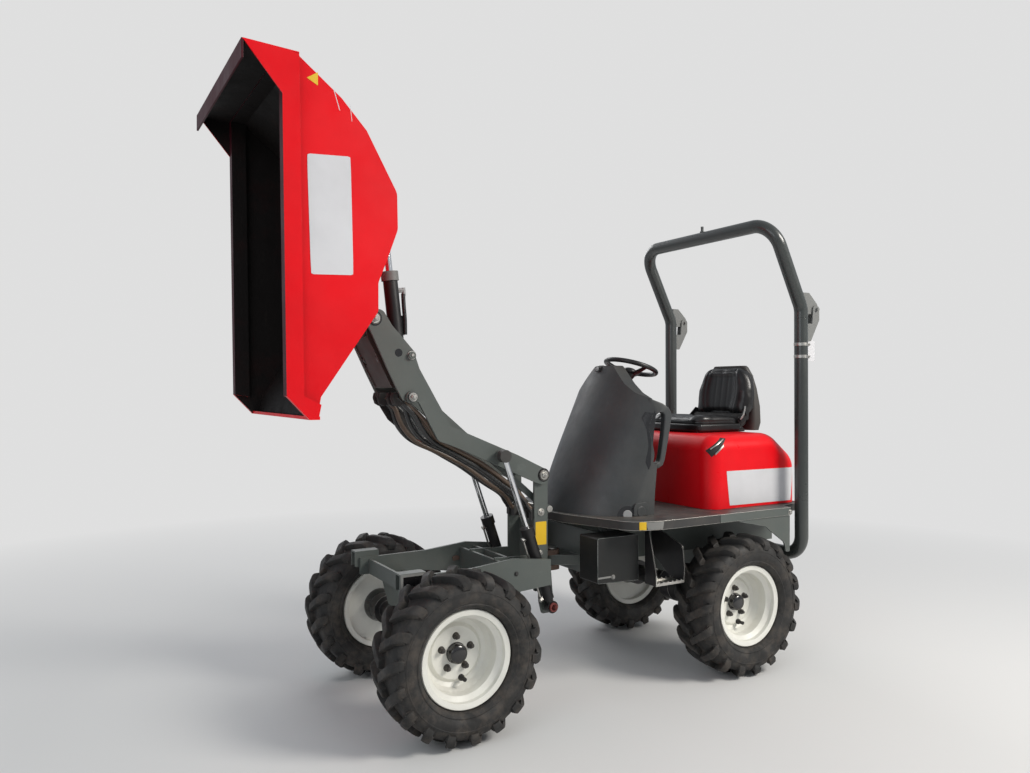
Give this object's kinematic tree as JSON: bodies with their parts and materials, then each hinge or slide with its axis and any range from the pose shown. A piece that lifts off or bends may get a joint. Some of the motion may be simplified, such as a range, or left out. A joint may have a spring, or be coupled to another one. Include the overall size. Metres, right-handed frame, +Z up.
{
  "type": "site dumper",
  "caption": "Articulated four-wheel site dumper with a high-tip skip on a lift arm, folding roll hoop, tilting hood and turning wheels.",
  "frame": {"origin": "on the ground, under the middle of the overall length, on the centre plane", "axes": "+X forward, +Y to the left, +Z up"},
  "size_m": [3.262, 1.274, 2.919],
  "materials": {
    "black_paint": "satin",
    "black_rubber": "satin",
    "chrome_rod": "polished",
    "cowl_plastic": "matte",
    "cream_paint": "satin",
    "grey_paint": "satin",
    "iron": "matte",
    "red_paint": "gloss",
    "seat_vinyl": "satin",
    "steel": "satin",
    "tyre_rubber": "matte"
  },
  "bodies": {
    "rear_frame": {"rear_chassis": "grey_paint", "deck": "grey_paint", "arch_panels": "grey_paint", "side_tanks": "black_paint", "steps": "black_paint", "engine": "iron", "axle_rear": "black_paint", "cowl": "cowl_plastic", "steering_column": "black_paint", "grab_handles": "black_rubber", "rops_lower": "grey_paint", "tow_hitch": "grey_paint"},
    "front_frame": {"front_frame": "grey_paint", "mast": "grey_paint", "mast_pins": "steel", "axle_front": "black_paint"},
    "lift_arm": {"lift_arm": "grey_paint", "arm_pins": "steel", "safety_prop": "red_paint"},
    "level_bars": {"level_bars": "grey_paint"},
    "carrier": {"carrier": "grey_paint"},
    "skip": {"skip": "red_paint", "skip_brackets": "black_paint"},
    "lift_barrels": {"lift_barrels": "black_paint"},
    "lift_rods": {"lift_rods": "chrome_rod"},
    "tilt_barrel": {"tilt_barrel": "black_paint"},
    "tilt_rod": {"tilt_rod": "chrome_rod"},
    "hood": {"hood": "red_paint", "seat_base": "black_paint", "seat_cushion": "seat_vinyl", "seat_back": "seat_vinyl"},
    "rops_upper": {"rops_upper": "grey_paint"},
    "steering_wheel": {"steering_wheel": "black_rubber"},
    "wheel_front_left": {"tyre_front_left": "tyre_rubber", "rim_front_left": "cream_paint", "hub_front_left": "black_paint"},
    "wheel_front_right": {"tyre_front_right": "tyre_rubber", "rim_front_right": "cream_paint", "hub_front_right": "black_paint"},
    "wheel_rear_left": {"tyre_rear_left": "tyre_rubber", "rim_rear_left": "cream_paint", "hub_rear_left": "black_paint"},
    "wheel_rear_right": {"tyre_rear_right": "tyre_rubber", "rim_rear_right": "cream_paint", "hub_rear_right": "black_paint"}
  },
  "joints": [
    {"name": "frame_pivot", "type": "hinge", "parent": "rear_frame", "child": "front_frame", "pos_m": [-0.116, 0, 0.627], "axis": [0, 0, 1], "range_deg": [-30, 30]},
    {"name": "wheel_front_left_turn", "type": "hinge", "parent": "front_frame", "child": "wheel_front_left", "pos_m": [0.701, 0.505, 0.38], "axis": [0, 1, 0], "continuous": true},
    {"name": "wheel_front_right_turn", "type": "hinge", "parent": "front_frame", "child": "wheel_front_right", "pos_m": [0.701, -0.505, 0.38], "axis": [0, 1, 0], "continuous": true},
    {"name": "wheel_rear_left_turn", "type": "hinge", "parent": "rear_frame", "child": "wheel_rear_left", "pos_m": [-1.013, 0.505, 0.38], "axis": [0, 1, 0], "continuous": true},
    {"name": "wheel_rear_right_turn", "type": "hinge", "parent": "rear_frame", "child": "wheel_rear_right", "pos_m": [-1.013, -0.505, 0.38], "axis": [0, 1, 0], "continuous": true},
    {"name": "arm_lift", "type": "hinge", "parent": "front_frame", "child": "lift_arm", "pos_m": [0.034, 0, 1.108], "axis": [0, -1, 0], "range_deg": [-50, 0]},
    {"name": "level_bar_turn", "type": "hinge", "parent": "front_frame", "child": "level_bars", "pos_m": [-0.016, 0, 0.925], "axis": [0, -1, 0], "range_deg": [-50, 0]},
    {"name": "carrier_turn", "type": "hinge", "parent": "lift_arm", "child": "carrier", "pos_m": [0.962, 0, 1.889], "axis": [0, -1, 0], "range_deg": [0, 50]},
    {"name": "skip_tip", "type": "hinge", "parent": "carrier", "child": "skip", "pos_m": [0.962, 0, 1.889], "axis": [0, 1, 0], "range_deg": [-90, 0]},
    {"name": "lift_barrel_turn", "type": "hinge", "parent": "front_frame", "child": "lift_barrels", "pos_m": [0.022, 0, 0.432], "axis": [0, -1, 0], "range_deg": [-7.45, 0.5]},
    {"name": "lift_rod_slide", "type": "slide", "parent": "lift_barrels", "child": "lift_rods", "axis": [0.3309, 0, 0.9437], "range_m": [-0.2299, 0.002]},
    {"name": "tilt_barrel_turn", "type": "hinge", "parent": "carrier", "child": "tilt_barrel", "pos_m": [0.779, 0, 1.719], "axis": [0, 1, 0], "range_deg": [-87.14, 0.5]},
    {"name": "tilt_rod_slide", "type": "slide", "parent": "tilt_barrel", "child": "tilt_rod", "axis": [0.1118, 0, 0.9937], "range_m": [-0.3535, 0.002]},
    {"name": "hood_lift", "type": "hinge", "parent": "rear_frame", "child": "hood", "pos_m": [-1.561, 0, 0.893], "axis": [0, 1, 0], "range_deg": [-50, 0]},
    {"name": "rops_fold", "type": "hinge", "parent": "rear_frame", "child": "rops_upper", "pos_m": [-1.576, 0, 2.015], "axis": [0, -1, 0], "range_deg": [0, 160]},
    {"name": "steering_wheel_turn", "type": "hinge", "parent": "rear_frame", "child": "steering_wheel", "pos_m": [-0.674, 0, 1.684], "axis": [-0.2924, 0, 0.9563], "range_deg": [-361, 361]}
  ],
  "couplings": [
    {"joint": "level_bar_turn", "follows": "arm_lift", "ratio": 1},
    {"joint": "carrier_turn", "follows": "arm_lift", "ratio": -1},
    {"joint": "lift_barrel_turn", "follows": "arm_lift", "ratio": 0.13902},
    {"joint": "lift_rod_slide", "follows": "arm_lift", "m_per_rad": 0.2612},
    {"joint": "tilt_barrel_turn", "follows": "skip_tip", "ratio": 0.96272},
    {"joint": "tilt_rod_slide", "follows": "skip_tip", "m_per_rad": 0.22375},
    {"joint": "steering_wheel_turn", "follows": "frame_pivot", "ratio": 12}
  ]
}
